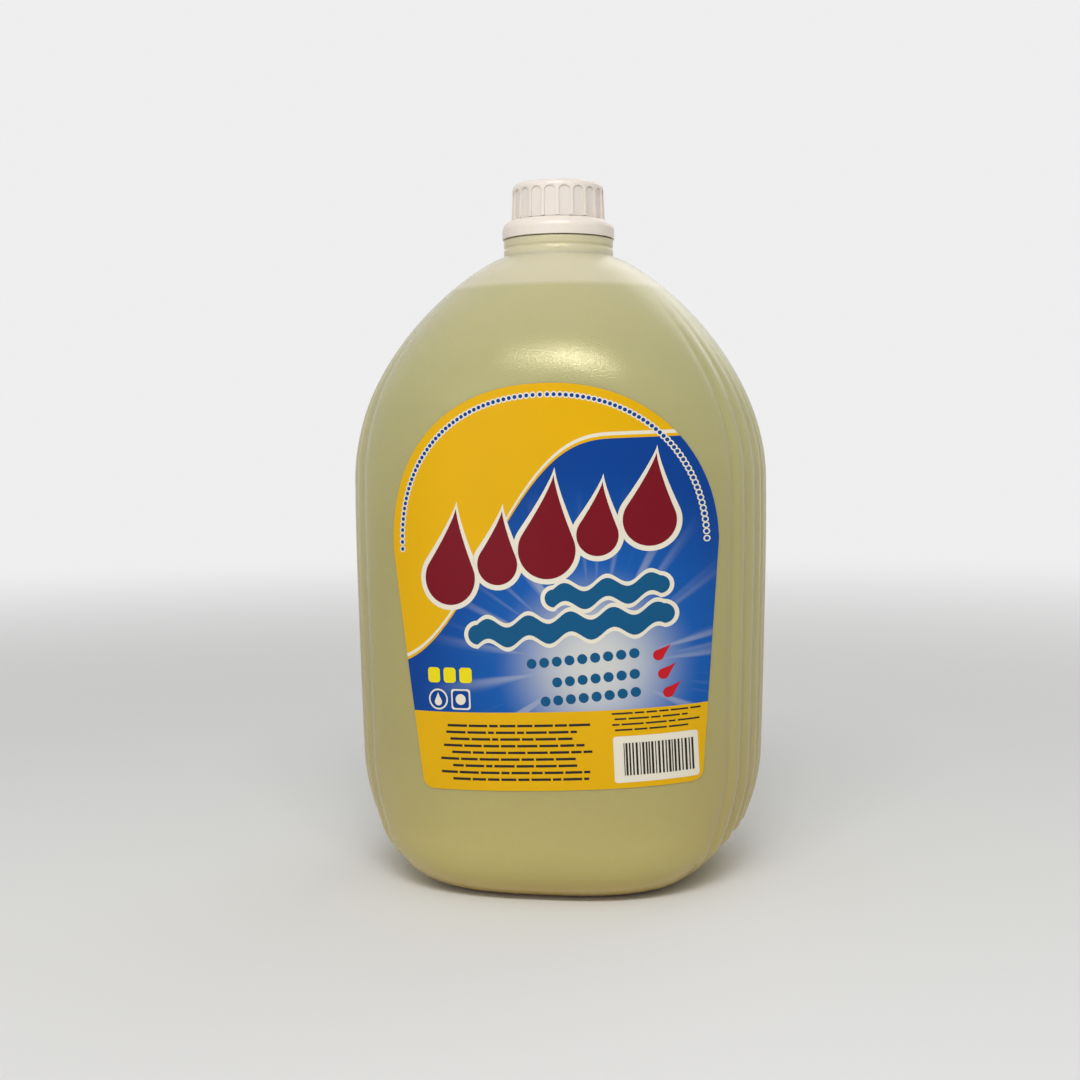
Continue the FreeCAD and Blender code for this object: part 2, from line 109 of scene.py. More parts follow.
class Graph:
    """A node tree with short ways to add nodes and links."""

    def __init__(self, tree: bpy.types.NodeTree) -> None:
        """Keep the tree."""
        self.tree = tree

    def node(self, kind: str, **settings: object) -> bpy.types.Node:
        """Add a node.

        Args:
            kind: The node's type.
            settings: Its properties.

        Returns:
            The node.
        """
        made = self.tree.nodes.new(kind)
        for name, value in settings.items():
            setattr(made, name, value)
        return made

    def feed(self, socket: bpy.types.NodeSocket, value: object) -> None:
        """Link a socket to another, or set its value."""
        if isinstance(value, bpy.types.NodeSocket):
            self.tree.links.new(value, socket)
        else:
            socket.default_value = value

    def math(self, operation: str, first: object, second: object = 0.0) -> bpy.types.NodeSocket:
        """Return the result of a sum on one or two values."""
        made = self.node("ShaderNodeMath", operation=operation)
        self.feed(made.inputs[0], first)
        self.feed(made.inputs[1], second)
        return made.outputs[0]

    def span(self, value: object, low: float, high: float, start: float = 0.0, end: float = 1.0,
             course: str = "SMOOTHSTEP") -> bpy.types.NodeSocket:
        """Map a value from one range to another.

        Args:
            value: The value or its socket.
            low: Lower end of its range.
            high: Upper end of its range.
            start: Result at low.
            end: Result at high.
            course: How the result runs in between.

        Returns:
            The result's socket.
        """
        made = self.node("ShaderNodeMapRange", interpolation_type=course)
        for name, entry in (("Value", value), ("From Min", low), ("From Max", high), ("To Min", start),
                            ("To Max", end)):
            self.feed(made.inputs[name], entry)
        return made.outputs["Result"]

    def blend(self, share: object, first: object, second: object) -> bpy.types.NodeSocket:
        """Return a colour between two, by a share from 0 to 1."""
        made = self.node("ShaderNodeMix", data_type="RGBA")
        self.feed(made.inputs["Factor"], share)
        self.feed(made.inputs[6], first)
        self.feed(made.inputs[7], second)
        return made.outputs[2]

    def ramp(self, value: object, stops: list[Stop]) -> bpy.types.NodeSocket:
        """Return a colour that runs through stops as a value goes from 0 to 1."""
        made = self.node("ShaderNodeValToRGB")
        elements = made.color_ramp.elements
        while len(elements) < len(stops):
            elements.new(1.0)
        for element, (place, colour) in zip(elements, stops):
            element.position = place
            element.color = colour
        self.feed(made.inputs["Fac"], value)
        return made.outputs["Color"]

    def group(self, tree: bpy.types.NodeTree, **values: object) -> bpy.types.Node:
        """Place a node group and set its inputs; a name's underscores stand for spaces."""
        made = self.node("ShaderNodeGroup", node_tree=tree)
        for name, value in values.items():
            self.feed(made.inputs[name.replace("_", " ")], value)
        return made


class Effects:
    """Node groups that several materials share, each built once."""

    built: dict[str, bpy.types.NodeTree] = {}

    @classmethod
    def grain(cls) -> bpy.types.NodeTree:
        """Return the group for the fine orange peel of moulded plastic, as a height."""
        if "grain" in cls.built:
            return cls.built["grain"]
        tree = bpy.data.node_groups.new("moulded_grain", "ShaderNodeTree")
        tree.interface.new_socket("Place", in_out="INPUT", socket_type="NodeSocketVector")
        tree.interface.new_socket("Grains", in_out="INPUT", socket_type="NodeSocketFloat")
        tree.interface.new_socket("Waves", in_out="INPUT", socket_type="NodeSocketFloat")
        tree.interface.new_socket("Height", in_out="OUTPUT", socket_type="NodeSocketFloat")
        graph = Graph(tree)
        given = graph.node("NodeGroupInput")
        result = graph.node("NodeGroupOutput")
        fine = graph.node("ShaderNodeTexNoise")
        graph.feed(fine.inputs["Vector"], given.outputs["Place"])
        graph.feed(fine.inputs["Scale"], given.outputs["Grains"])
        graph.feed(fine.inputs["Detail"], 2.0)
        broad = graph.node("ShaderNodeTexNoise")
        graph.feed(broad.inputs["Vector"], given.outputs["Place"])
        graph.feed(broad.inputs["Scale"], given.outputs["Waves"])
        graph.feed(broad.inputs["Detail"], 1.0)
        height = graph.math("ADD", fine.outputs["Fac"], graph.math("MULTIPLY", broad.outputs["Fac"], 0.10))
        graph.feed(result.inputs["Height"], height)
        cls.built["grain"] = tree
        return tree

    @classmethod
    def haze(cls) -> bpy.types.NodeTree:
        """Return the group for slow, uneven patches of a surface, as a mask from 0 to 1."""
        if "haze" in cls.built:
            return cls.built["haze"]
        tree = bpy.data.node_groups.new("surface_haze", "ShaderNodeTree")
        tree.interface.new_socket("Place", in_out="INPUT", socket_type="NodeSocketVector")
        tree.interface.new_socket("Patches", in_out="INPUT", socket_type="NodeSocketFloat")
        tree.interface.new_socket("Mask", in_out="OUTPUT", socket_type="NodeSocketFloat")
        graph = Graph(tree)
        given = graph.node("NodeGroupInput")
        result = graph.node("NodeGroupOutput")
        cloud = graph.node("ShaderNodeTexNoise")
        graph.feed(cloud.inputs["Vector"], given.outputs["Place"])
        graph.feed(cloud.inputs["Scale"], given.outputs["Patches"])
        graph.feed(cloud.inputs["Detail"], 3.0)
        graph.feed(result.inputs["Mask"], graph.span(cloud.outputs["Fac"], 0.35, 0.65))
        cls.built["haze"] = tree
        return tree


@dataclass(frozen=True)
class Finish:
    """A plain finish: one colour that varies a little, with its gloss and grain."""

    name: str
    colour: Colour
    roughness: float = 0.4
    shade: float = 0.94
    patches: float = 30.0
    grains: float = 2500.0
    waves: float = 400.0
    bump: float = 0.0
    softness: float = 0.0
    depth: float = 0.004
    mirror: float = 0.5
    glint: Colour = (1.0, 1.0, 1.0, 1.0)

    def start(self) -> tuple[bpy.types.Material, Graph, bpy.types.Node, bpy.types.NodeSocket]:
        """Return a new material, its graph, its shader and its coordinates."""
        material = bpy.data.materials.new(self.name)
        material.use_nodes = True
        graph = Graph(material.node_tree)
        shader = material.node_tree.nodes["Principled BSDF"]
        shader.inputs["Roughness"].default_value = self.roughness
        shader.inputs["Specular IOR Level"].default_value = self.mirror
        shader.inputs["Specular Tint"].default_value = self.glint
        place = graph.node("ShaderNodeTexCoord").outputs["Object"]
        if self.softness:
            shader.inputs["Subsurface Weight"].default_value = self.softness
            shader.inputs["Subsurface Radius"].default_value = (1.0, 0.9, 0.6)
            shader.inputs["Subsurface Scale"].default_value = self.depth
        if self.bump:
            grain = graph.group(Effects.grain(), Place=place, Grains=self.grains, Waves=self.waves)
            relief = graph.node("ShaderNodeBump")
            relief.inputs["Strength"].default_value = self.bump
            relief.inputs["Distance"].default_value = 0.0002
            graph.feed(relief.inputs["Height"], grain.outputs["Height"])
            graph.feed(shader.inputs["Normal"], relief.outputs["Normal"])
        return material, graph, shader, place

    def tint(self, graph: Graph, place: bpy.types.NodeSocket, colour: object) -> bpy.types.NodeSocket:
        """Return a colour that turns a little darker in uneven patches."""
        haze = graph.group(Effects.haze(), Place=place, Patches=self.patches)
        darker = graph.node("ShaderNodeMix", data_type="RGBA", blend_type="MULTIPLY")
        graph.feed(darker.inputs["Factor"], haze.outputs["Mask"])
        graph.feed(darker.inputs[6], colour)
        graph.feed(darker.inputs[7], (self.shade, self.shade, self.shade, 1.0))
        return darker.outputs[2]

    def build(self) -> bpy.types.Material:
        """Return the finish as a material."""
        material, graph, shader, place = self.start()
        graph.feed(shader.inputs["Base Color"], self.tint(graph, place, self.colour))
        return material


@dataclass(frozen=True)
class BottlePlastic(Finish):
    """Translucent plastic coloured by what stands behind it: contents, air or thick neck; with painted shade at the
    foot and lower side corners, and paler painted rim light along the left and right sides.
    """

    full_height: float = 302.2
    level: float = 254.5
    # Where the painted rim light starts and ends across the width, in millimetres.
    painted_rim_light_start: float = 66.0
    painted_rim_light_end: float = 91.0

    def stops(self) -> list[Stop]:
        """Return the colours from the foot to the rim, with their heights as shares."""
        heights = [
            # Painted shade and light: the amber-brown at the foot's edge stands for shade at the base corner, and the
            # lighter colours at 3 and 14 mm are painted light against the shade near the floor.
            (0.0, srgb(176, 138, 72)),
            (3.0, srgb(190, 166, 98)),
            (14.0, srgb(188, 176, 112)),
            (60.0, srgb(172, 162, 106)),
            (150.0, srgb(168, 160, 104)),
            (215.0, srgb(176, 171, 122)),
            (self.level - 1.4, srgb(184, 178, 134)),
            (self.level + 0.4, srgb(206, 198, 166)),
            (self.level + 2.0, srgb(208, 199, 168)),
            (267.0, srgb(214, 204, 174)),
            (271.0, srgb(212, 203, 170)),
            (277.0, srgb(206, 198, 164)),
            (279.0, srgb(206, 199, 170)),
        ]
        return [(height / self.full_height, colour) for height, colour in heights]

    def build(self) -> bpy.types.Material:
        """Return the plastic as a material."""
        material, graph, shader, place = self.start()
        axes = graph.node("ShaderNodeSeparateXYZ")
        graph.feed(axes.inputs["Vector"], place)
        height = graph.math("DIVIDE", axes.outputs["Z"], self.full_height * MM)
        filled = graph.ramp(height, self.stops())
        # Painted rim light: above the foot, the left and right sides turn paler towards the outline.
        aside = graph.math("ABSOLUTE", axes.outputs["X"])
        edge = graph.math("MULTIPLY", graph.span(aside, self.painted_rim_light_start * MM, self.painted_rim_light_end * MM), 0.5)
        below = graph.span(axes.outputs["Z"], 0.020, 0.070)
        filled = graph.blend(graph.math("MULTIPLY", edge, below), filled, srgb(186, 179, 130))
        # Painted shade: amber-brown shading on the rounded lower corners of the left and right sides, strongest near
        # the foot and gone by 100 mm.
        low = graph.span(axes.outputs["Z"], 0.012, 0.100, 0.45, 0.0)
        corner = graph.math("MULTIPLY", graph.span(aside, 0.050, 0.088), low)
        filled = graph.blend(corner, filled, srgb(178, 150, 92))
        graph.feed(shader.inputs["Base Color"], self.tint(graph, place, filled))
        return material


@dataclass(frozen=True)
class LabelPrint(Finish):
    """Printed film: a yellow ground, a blue field under a wave, a pale glow and a yellow foot band."""

    glow: Point = (0.17, 0.50)
    foot_band: float = 0.315
    line: float = 0.0009

    def step(self, graph: Graph, value: object, edge: object) -> bpy.types.NodeSocket:
        """Return a crisp mask that is 1 where a value lies over an edge."""
        return graph.span(graph.math("SUBTRACT", value, edge), -self.line, self.line)

    def rays(self, graph: Graph, across: object, up: object) -> tuple[bpy.types.NodeSocket, bpy.types.NodeSocket]:
        """Return the masks of a round glow with soft rays and of the paler field round it."""
        aside = graph.math("SUBTRACT", across, self.glow[0])
        above = graph.math("SUBTRACT", up, self.glow[1])
        reach = graph.math("SQRT", graph.math("ADD", graph.math("MULTIPLY", aside, aside),
                                              graph.math("MULTIPLY", above, above)))
        turn = graph.math("ARCTAN2", above, aside)
        beams = graph.node("ShaderNodeTexNoise", noise_dimensions="1D")
        graph.feed(beams.inputs["W"], graph.math("MULTIPLY", turn, 2.4))
        graph.feed(beams.inputs["Scale"], 3.0)
        graph.feed(beams.inputs["Detail"], 1.0)
        beam = graph.math("MULTIPLY", graph.span(beams.outputs["Fac"], 0.5, 0.72), graph.span(reach, 0.15, 0.75, 0.5, 0.0))
        core = graph.span(reach, 0.04, 0.42, 0.95, 0.0)
        return graph.math("MAXIMUM", core, beam), graph.span(reach, 0.25, 0.85, 0.75, 0.0)

    def build(self) -> bpy.types.Material:
        """Return the printed film as a material."""
        material, graph, shader, place = self.start()
        axes = graph.node("ShaderNodeSeparateXYZ")
        graph.feed(axes.inputs["Vector"], graph.node("ShaderNodeUVMap", uv_map="print").outputs["UV"])
        across = axes.outputs["X"]
        up = axes.outputs["Y"]
        wave = graph.span(across, -0.78, 0.30, 0.50, 1.40, "SMOOTHERSTEP")
        glow, paler = self.rays(graph, across, up)
        blue = graph.blend(glow, graph.blend(paler, Ink.BLUE.colour(), Ink.PALE_BLUE.colour()), Ink.WHITE.colour())
        over_wave = self.step(graph, up, wave)
        printed = graph.blend(over_wave, blue, Ink.YELLOW.colour())
        stripe = graph.math("MULTIPLY", self.step(graph, up, graph.math("ADD", wave, 0.012)),
                            self.step(graph, graph.math("ADD", wave, 0.026), up))
        printed = graph.blend(stripe, printed, Ink.CREAM.colour())
        printed = graph.blend(self.step(graph, self.foot_band, up), printed, Ink.YELLOW.colour())
        graph.feed(shader.inputs["Base Color"], self.tint(graph, place, printed))
        return material


@dataclass(frozen=True)
class BottleShape:
    """The bottle's outside as functions of height; sizes in millimetres."""

    width: float = 182.0
    depth: float = 145.2
    squareness: float = 2.3
    foot_squareness: float = 2.75
    foot_blend: float = 32.0
    shoulder_top: float = 269.5
    side_shoulder: float = 172.0
    front_shoulder: float = 205.0
    bulge: float = 1.9
    fall: float = 1.25
    foot: float = 96.0
    side_corner: float = 58.0
    front_corner: float = 24.0
    side_taper: float = 3.8
    front_taper: float = 1.2
    neck_radius: float = 24.4
    pitch: float = 9.0
    ribs: int = 9
    groove: float = 1.15
    groove_top: float = 258.0
    groove_runout: float = 60.0
    rib_end: float = 12.5
    rib_end_rise: float = 11.0
    rib_stand: float = 2.2

    def half(self, z: float, full: float, taper: float, corner: float, shoulder: float) -> float:
        """Return half the width or depth at a height.

        Args:
            z: The height.
            full: Largest width or depth.
            taper: How much it draws in down to the corner.
            corner: Height of the rounded lower corner.
            shoulder: Height at which it leans in.

        Returns:
            Half the width or depth.
        """
        widest = full / 2
        lower = widest - taper
        if z < corner:
            opened = math.sqrt(max(0.0, 1.0 - (1.0 - z / corner) ** 2))
            return self.foot / 2 + (lower - self.foot / 2) * opened
        if z < shoulder:
            return lower + taper * math.sin((z - corner) / (shoulder - corner) * math.pi / 2)
        climb = min(1.0, (z - shoulder) / (self.shoulder_top - shoulder))
        left = (1.0 - climb ** self.bulge) ** (1.0 / self.fall)
        return self.neck_radius + (widest - self.neck_radius) * left

    def half_width(self, z: float) -> float:
        """Return half the width at a height."""
        return self.half(z, self.width, self.side_taper, self.side_corner, self.side_shoulder)

    def half_depth(self, z: float) -> float:
        """Return half the depth at a height."""
        return self.half(z, self.depth, self.front_taper, self.front_corner, self.front_shoulder)

    def power(self, z: float) -> float:
        """Return the exponent of the oval at a height."""
        climb = (z - self.front_shoulder) / (self.shoulder_top - self.front_shoulder)
        squarer = (self.foot_squareness - self.squareness) * (1.0 - ease(z, 0.0, self.foot_blend))
        return self.squareness + squarer - (self.squareness - 2.0) * min(1.0, max(0.0, climb))

    def groove_depth(self, z: float) -> float:
        """Return the depth of the side grooves at a height."""
        return self.groove * ease(self.groove_top - z, 0.0, self.groove_runout) * ease(z, 3.0, 14.0)

    def stand(self, z: float, place: float) -> float:
        """Return how far a rib stands out over the lower corner.

        Args:
            z: The height.
            place: Where the rib is, from -1 at the front of the side to 1 at its back.

        Returns:
            The distance.
        """
        end = self.rib_end + self.rib_end_rise * (1.0 - place * place)
        return self.rib_stand * (ease(z, end, end + 1.3) - 0.7) * (1.0 - ease(z, 50.0, 120.0))

    def front(self, x: float, z: float) -> tuple[Vector, Vector]:
        """Return the point of the front at a place across and a height, and its outward normal."""
        def depth_at(across: float, up: float) -> float:
            """Return the depth of the front's surface."""
            power = self.power(up)
            share = min(0.999, abs(across) / self.half_width(up))
            return -self.half_depth(up) * (1.0 - share ** power) ** (1.0 / power)

        reach = 0.5
        slope_x = (depth_at(x + reach, z) - depth_at(x - reach, z)) / (2 * reach)
        slope_z = (depth_at(x, z + reach) - depth_at(x, z - reach)) / (2 * reach)
        return Vector((x, depth_at(x, z), z)), Vector((slope_x, -1.0, slope_z)).normalized()


def add_object(name: str, mesh: bpy.types.Mesh, material: bpy.types.Material, body: str) -> bpy.types.Object:
    """Add a piece that rides on a body and takes a material.

    Args:
        name: Name of the piece.
        mesh: Its mesh.
        material: Its material.
        body: The body that it rides on.

    Returns:
        The piece.
    """
    obj = bpy.data.objects.new(name, mesh)
    bpy.context.collection.objects.link(obj)
    mesh.materials.append(material)
    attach(obj, body)
    return obj


def dress(node: str, material: bpy.types.Material) -> bpy.types.Object:
    """Give a solid of the frame one material.

    Args:
        node: Name of the solid.
        material: The material.

    Returns:
        The solid's object.
    """
    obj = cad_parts[node]
    if not obj.material_slots:
        obj.data.materials.append(material)
    for entry in obj.material_slots:
        entry.material = material
    return obj


@dataclass
class MouldedBottle:
    """The blow-moulded bottle with its fluted sides, neck and recessed foot."""

    shape: BottleShape = field(default_factory=BottleShape)
    rib_steps: int = 8
    panel_steps: tuple[float, ...] = (0.0, 0.02, 0.04, 0.06, 0.085, 0.11, 0.14, 0.18, 0.23, 0.29, 0.36, 0.44, 0.52, 0.6,
                                      0.68, 0.76, 0.84, 0.92, 1.0)
    panel_round: float = 0.1
    recess_radius: float = 36.0
    recess_height: float = 4.0
    neck: tuple[Point, ...] = (
        (24.4, 269.9), (24.4, 272.0), (24.3, 272.45), (24.05, 272.9), (23.95, 273.3), (24.05, 273.7), (24.3, 274.1),
        (24.4, 274.5), (24.4, 276.6), (24.2, 277.1), (23.7, 277.3), (21.9, 277.3), (21.6, 277.6), (21.6, 284.0),
        (21.3, 284.35), (17.8, 284.4), (17.5, 284.7), (17.5, 299.1), (17.35, 299.5), (17.0, 299.6), (15.7, 299.6),
        (15.35, 299.5), (15.2, 299.1), (15.2, 283.6), (15.6, 283.2), (20.0, 282.2), (20.4, 281.6), (20.4, 274.4),
        (22.8, 270.0), (33.5, 262.5), (45.0, 254.3),
    )

    def columns(self, z: float) -> list[Point]:
        """Return the closed outline at a height, counted from the front end of the right-hand ribs.

        Args:
            z: The height.

        Returns:
            The points of the outline.
        """
        shape = self.shape
        wide, deep, power = shape.half_width(z), shape.half_depth(z), shape.power(z)
        groove, edge_stand = shape.groove_depth(z), shape.stand(z, 1.0)
        pitch = shape.pitch / (shape.depth / 2)
        outer = shape.ribs / 2 * pitch

        def place(share: float, side: int, out: float) -> Point:
            """Return the oval's point at a share of its half depth, moved outwards."""
            across = wide * max(0.0, 1.0 - abs(share) ** power) ** (1.0 / power)
            normal = Vector(((across / wide) ** (power - 1.0) / wide,
                             math.copysign(abs(share) ** (power - 1.0) / deep, share))).normalized()
            return side * (across + normal.x * out), deep * share + normal.y * out

        def ribs(side: int) -> Outline:
            """Return the ribs of one side, from front to back on the right and back again on the left."""
            row = []
            for number in range(shape.ribs * self.rib_steps):
                step = number / self.rib_steps
                part = step - math.floor(step)
                dip = 0.5 * abs(2 * part - 1.0) ** 3 + 0.25 * (1.0 + math.cos(2 * math.pi * part))
                share = side * (step * pitch - outer)
                row.append(place(share, side, shape.stand(z, share / outer) - groove * dip))
            return row

        def panel(facing: int) -> Outline:
            """Return a panel, from right to left at the back and from left to right in front."""
            start = math.asin(outer ** (power / 2))
            half_row = []
            for step in self.panel_steps:
                angle = start + (math.pi / 2 - start) * step
                share = min(1.0, math.sin(angle) ** (2 / power))
                edge = max(0.0, 1.0 - step / self.panel_round) ** 2
                rim = max(0.0, 1.0 - step / (2 * self.panel_round))
                half_row.append((facing * share, edge_stand * rim - groove * edge))
            first = [place(share, facing, out) for share, out in half_row]
            second = [(-x, y) for x, y in reversed(first[:-1])]
            return (first + second)[:-1]

        return ribs(1) + panel(1) + ribs(-1) + panel(-1)

    def heights(self) -> list[float]:
        """Return the heights of the rows, closer where the surface turns."""
        shape = self.shape
        rows = [shape.side_corner * (1 - math.cos(math.radians(turn))) for turn in range(0, 90, 3)]
        rows += [shape.rib_end + step * 0.5 for step in range(-1, 28)]
        rows += [shape.side_corner + step * 4.0 for step in range(29)]
        rise = shape.shoulder_top - shape.side_shoulder
        rows += [shape.side_shoulder + rise * (1 - (1 - step / 46) ** 1.7) for step in range(47)]
        kept: list[float] = []
        for row in sorted(rows):
            if not kept or row - kept[-1] > 0.02:
                kept.append(row)
        return kept

    def mesh(self) -> bpy.types.Mesh:
        """Return the bottle's mesh."""
        rings = [[Vector((x, y, z)) for x, y in self.columns(z)] for z in self.heights()]
        around = [Vector((point.x, point.y, 0.0)).normalized() for point in rings[-1]]
        for radius, z in self.neck:
            rings.append([Vector((way.x * radius, way.y * radius, z)) for way in around])
        base = [Vector((point.x, point.y, 0.0)).normalized() for point in rings[0]]
        ball = (self.recess_radius ** 2 + self.recess_height ** 2) / (2 * self.recess_height)
        lower = []
        for radius in (38.0, 36.3, 35.7, 34.0, 30.0, 24.0, 17.0, 10.0, 4.0):
            inside = min(radius, self.recess_radius)
            z = self.recess_height - ball + math.sqrt(ball ** 2 - inside ** 2) if radius < self.recess_radius else 0.0
            lower.append([Vector((way.x * radius, way.y * radius, z)) for way in base])
        rings = list(reversed(lower)) + rings
        count = len(rings[0])
        points = [point * MM for ring in rings for point in ring]
        faces = []
        for row in range(len(rings) - 1):
            for column in range(count):
                beside = (column + 1) % count
                faces.append((row * count + column, row * count + beside, (row + 1) * count + beside,
                              (row + 1) * count + column))
        for ring, height, turned in ((0, self.recess_height, True), (len(rings) - 1, self.neck[-1][1], False)):
            points.append(Vector((0.0, 0.0, height)) * MM)
            centre = len(points) - 1
            for column in range(count):
                pair = (ring * count + column, ring * count + (column + 1) % count)
                faces.append((pair[1], pair[0], centre) if turned else (pair[0], pair[1], centre))
        mesh = bpy.data.meshes.new("moulded_bottle")
        mesh.from_pydata(points, [], faces)
        mesh.polygons.foreach_set("use_smooth", [True] * len(faces))
        mesh.update()
        return mesh

    def build(self) -> bpy.types.Object:
        """Return the dressed bottle, which stands for its solid."""
        plastic = BottlePlastic("bottle_plastic", srgb(172, 166, 118), roughness=0.19, shade=0.97, patches=14.0,
                                grains=1500.0, waves=900.0, bump=0.50, softness=0.6, depth=0.007, mirror=0.6,
                                glint=(1.0, 0.93, 0.62, 1.0))
        obj = add_object("moulded_bottle", self.mesh(), plastic.build(), "bottle")
        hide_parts("bottle_body")
        return obj


@dataclass
class NeckThread:
    """The raised thread of the neck, under the cap."""

    radius: float = 17.45
    height: float = 0.95
    base: float = 1.5
    start: float = 287.6
    lead: float = 4.2
    turns: float = 1.5
    fade: float = 25.0
    step: float = 5.0

    def mesh(self) -> bpy.types.Mesh:
        """Return the helical ridge, which fades at both ends."""
        count = int(self.turns * 360 / self.step)
        points, faces = [], []
        for number in range(count + 1):
            turn = number * self.step
            share = min(1.0, turn / self.fade, (count * self.step - turn) / self.fade)
            way = math.radians(turn)
            z = self.start + self.lead * turn / 360
            for out, up in ((0.0, -0.5), (0.75, -0.28), (1.0, 0.0), (0.75, 0.28), (0.0, 0.5)):
                radius = self.radius + self.height * out * share
                points.append(Vector((math.cos(way) * radius, math.sin(way) * radius, z + up * self.base)) * MM)
        for number in range(count):
            for side in range(4):
                low = number * 5 + side
                faces.append((low, low + 5, low + 6, low + 1))
        mesh = bpy.data.meshes.new("neck_thread")
        mesh.from_pydata(points, [], faces)
        mesh.polygons.foreach_set("use_smooth", [True] * len(faces))
        return mesh

    def build(self) -> bpy.types.Object:
        """Return the dressed thread."""
        finish = Finish("neck_plastic", srgb(196, 192, 170), roughness=0.36, softness=0.4)
        return add_object("neck_thread", self.mesh(), finish.build(), "bottle")


class Shapes:
    """Outlines of the printed shapes, in millimetres on the label: across from its middle, up from its foot."""

    @staticmethod
    def box(left: float, low: float, right: float, high: float, corner: float = 0.0) -> Outline:
        """Return a rectangle, with round corners if a radius is given."""
        if not corner:
            return [(left, low), (right, low), (right, high), (left, high)]
        points = []
        for x, y, start in ((right - corner, low + corner, -90), (right - corner, high - corner, 0),
                            (left + corner, high - corner, 90), (left + corner, low + corner, 180)):
            for turn in range(0, 91, 15):
                angle = math.radians(start + turn)
                points.append((x + corner * math.cos(angle), y + corner * math.sin(angle)))
        return points

    @staticmethod
    def disc(x: float, y: float, radius: float) -> Outline:
        """Return a circle."""
        return [(x + radius * math.cos(math.radians(turn)), y + radius * math.sin(math.radians(turn)))
                for turn in range(0, 360, 12)]

    @staticmethod
    def drop(x: float, y: float, radius: float, height: float, lean: float, grow: float = 0.0) -> Outline:
        """Return a drop that stands on its round end.

        Args:
            x: Middle of its round end, across.
            y: Middle of its round end, up.
            radius: Radius of its round end.
            height: Distance from there to its tip.
            lean: How far the tip leans to the right, in degrees.
            grow: How much larger the outline is all round.

        Returns:
            The outline.
        """
        points = []
        side = math.radians(62)
        for number in range(41):
            angle = math.pi / 2 + side + (2 * math.pi - 2 * side) * number / 40
            points.append(((radius + grow) * math.cos(angle), (radius + grow) * math.sin(angle)))
        start_x, start_y = points[-1]
        tip = height + grow * 1.5
        flank = []
        for number in range(1, 12):
            share = number / 12
            bulge = (1 - share) ** 1.25
            flank.append((start_x * bulge + 0.0, start_y + (tip - start_y) * share))
        points += flank
        points.append((0.0, tip))
        points += [(-px, py) for px, py in reversed(flank)]
        tilt = math.radians(lean)
        return [(x + px * math.cos(tilt) + py * math.sin(tilt), y - px * math.sin(tilt) + py * math.cos(tilt))
                for px, py in points]

    @staticmethod
    def wave(left: float, right: float, middle: float, thick: float, rise: float, grow: float = 0.0) -> Outline:
        """Return a wavy band with round ends that climbs to the right."""
        def crest(x: float) -> float:
            """Return the height of the band's middle."""
            share = (x - left) / (right - left)
            return middle + rise * share + 2.1 * math.sin((x - left) / 17.0 * 2 * math.pi)

        half = thick / 2 + grow
        count = 60
        upper = [(left + (right - left) * step / count, 0.0) for step in range(count + 1)]
        above = [(x, crest(x) + half) for x, _ in upper]
        below = [(x, crest(x) - half) for x, _ in upper]
        cap_right = [(right + half * math.cos(math.radians(turn)), crest(right) + half * math.sin(math.radians(turn)))
                     for turn in range(75, -76, -15)]
        cap_left = [(left - half * math.cos(math.radians(turn)), crest(left) - half * math.sin(math.radians(turn)))
                    for turn in range(75, -76, -15)]
        return above + cap_right + list(reversed(below)) + cap_left


